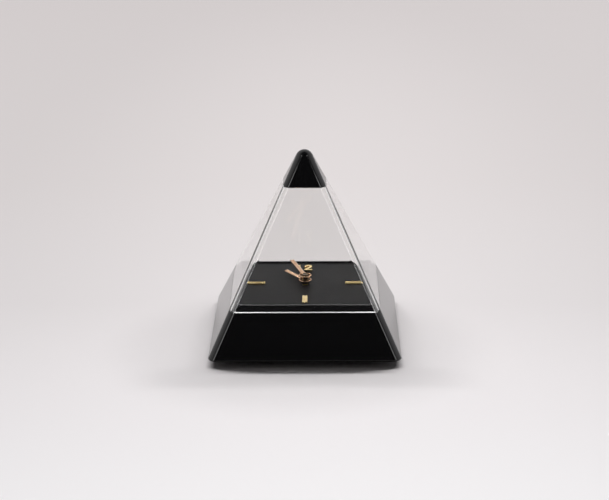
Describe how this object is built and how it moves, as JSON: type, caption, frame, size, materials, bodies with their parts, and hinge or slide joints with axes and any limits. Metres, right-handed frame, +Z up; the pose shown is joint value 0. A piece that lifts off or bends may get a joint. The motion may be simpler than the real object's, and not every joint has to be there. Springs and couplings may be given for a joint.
{
  "type": "pyramid table clock",
  "caption": "Square pyramid table clock: glossy black base, clear shell over a flat dial with gold hands, black tip, quartz movement inside.",
  "frame": {"origin": "on the table under the middle of the clock", "axes": "+Z up, +Y from the middle of the dial towards twelve (the rear), +X towards three"},
  "size_m": [0.1292, 0.1292, 0.1325],
  "materials": {
    "gloss_black": "polished",
    "clear_plastic": "clear polished",
    "satin_dial": "satin",
    "gold": "bright gilt",
    "rose_gold": "satin gilt",
    "matt_black": "fine grained",
    "rubber": "matt",
    "steel": "plain",
    "brass": "turned",
    "nylon": "natural",
    "magnet": "ground",
    "copper": "enamelled wire",
    "board": "solder resist",
    "cell_wrap": "printed sleeve, left plain"
  },
  "bodies": {
    "case": {"base_housing": "gloss_black", "crystal_shell": "clear_plastic", "apex_cap": "gloss_black", "dial_tray": "gloss_black", "dial_plate": "satin_dial", "marker_3": "gold", "marker_6": "gold", "marker_9": "gold", "figure_1": "gold", "figure_2": "gold", "movement_case": "matt_black", "movement_lid": "matt_black", "hex_nut": "brass", "washer": "steel", "gasket": "rubber", "stator": "steel", "coil_bobbin": "nylon", "coil_winding": "copper", "circuit_board": "board", "quartz_can": "steel", "battery_cell": "cell_wrap", "negative_contact": "steel", "positive_contact": "steel", "bottom_cover": "matt_black", "foot_1": "rubber", "foot_2": "rubber", "foot_3": "rubber", "foot_4": "rubber", "cover_screw_1": "steel", "cover_screw_2": "steel", "cover_screw_3": "steel", "cover_screw_4": "steel"},
    "minute_set": {"minute_arbor": "brass", "minute_hand": "rose_gold"},
    "hour_set": {"hour_wheel": "brass", "hour_hand": "rose_gold"},
    "setting_set": {"motion_wheel": "nylon", "time_set_knob": "matt_black"},
    "rotor_set": {"rotor": "magnet"},
    "step_set": {"step_wheel": "nylon"},
    "seconds_set": {"seconds_wheel": "nylon"},
    "third_set": {"third_wheel": "nylon"},
    "centre_set": {"centre_wheel": "brass"},
    "door": {"battery_door": "matt_black"}
  },
  "joints": [
    {"name": "minute_turn", "type": "hinge", "parent": "case", "child": "minute_set", "pos_m": [0, 0, 0.03], "axis": [0, 0, -1], "continuous": true},
    {"name": "hour_turn", "type": "hinge", "parent": "case", "child": "hour_set", "pos_m": [0, 0, 0.03], "axis": [0, 0, -1], "continuous": true},
    {"name": "set_knob_turn", "type": "hinge", "parent": "case", "child": "setting_set", "pos_m": [0.01083, -0.00394, 0.01], "axis": [0, 0, -1], "continuous": true},
    {"name": "rotor_turn", "type": "hinge", "parent": "case", "child": "rotor_set", "pos_m": [0.00573, -0.0174, 0.02], "axis": [0, 0, -1], "continuous": true},
    {"name": "step_turn", "type": "hinge", "parent": "case", "child": "step_set", "pos_m": [-0.00147, -0.0174, 0.02], "axis": [0, 0, -1], "continuous": true},
    {"name": "seconds_turn", "type": "hinge", "parent": "case", "child": "seconds_set", "pos_m": [-0.00972, -0.01338, 0.02], "axis": [0, 0, -1], "continuous": true},
    {"name": "third_turn", "type": "hinge", "parent": "case", "child": "third_set", "pos_m": [-0.01006, -0.00366, 0.02], "axis": [0, 0, -1], "continuous": true},
    {"name": "centre_turn", "type": "hinge", "parent": "case", "child": "centre_set", "pos_m": [0, 0, 0.02], "axis": [0, 0, -1], "continuous": true},
    {"name": "battery_door_slide", "type": "slide", "parent": "case", "child": "door", "axis": [0, 1, 0], "range_m": [0, 0.046]}
  ],
  "couplings": [
    {"joint": "hour_turn", "follows": "minute_turn", "ratio": 0.083333},
    {"joint": "set_knob_turn", "follows": "minute_turn", "ratio": -0.33333},
    {"joint": "step_turn", "follows": "rotor_turn", "ratio": -0.25},
    {"joint": "seconds_turn", "follows": "rotor_turn", "ratio": 0.033333},
    {"joint": "third_turn", "follows": "rotor_turn", "ratio": -0.0041667},
    {"joint": "centre_turn", "follows": "rotor_turn", "ratio": 0.00055556}
  ]
}
